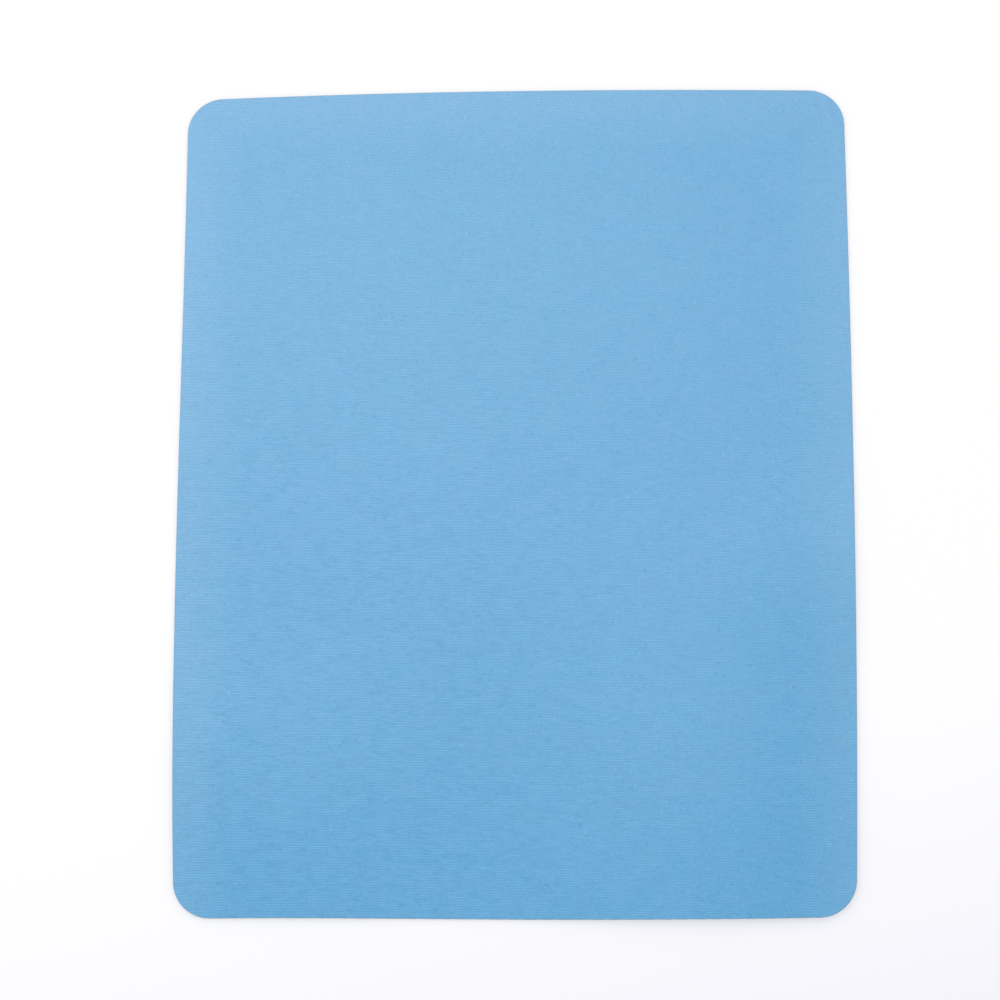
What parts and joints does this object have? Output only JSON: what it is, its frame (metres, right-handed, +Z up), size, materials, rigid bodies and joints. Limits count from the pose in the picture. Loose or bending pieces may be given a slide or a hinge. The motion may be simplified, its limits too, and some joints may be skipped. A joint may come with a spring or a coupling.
{
  "type": "mouse pad",
  "caption": "Thin rectangular cloth mouse pad with rounded corners, a fine ribbed light blue face and an embossed non-slip rubber base.",
  "frame": {"origin": "on the surface that the pad lies on, under the middle of its outline's box", "axes": "+Z up out of the cloth face, +Y along the long side, towards the side that swells most, +X along the short side"},
  "size_m": [0.2028, 0.2522, 0.001],
  "materials": {
    "foam_rubber": "matte foamed rubber, embossed underside",
    "hot_melt_film": "thin milky adhesive film, seen only as a hairline at the cut edge",
    "knitted_cloth": "fine ribbed polyester knit, light blue, matte with a faint sheen"
  },
  "bodies": {
    "root": {"rubber_base": "foam_rubber", "adhesive_film": "hot_melt_film", "cloth_top": "knitted_cloth"}
  },
  "joints": []
}
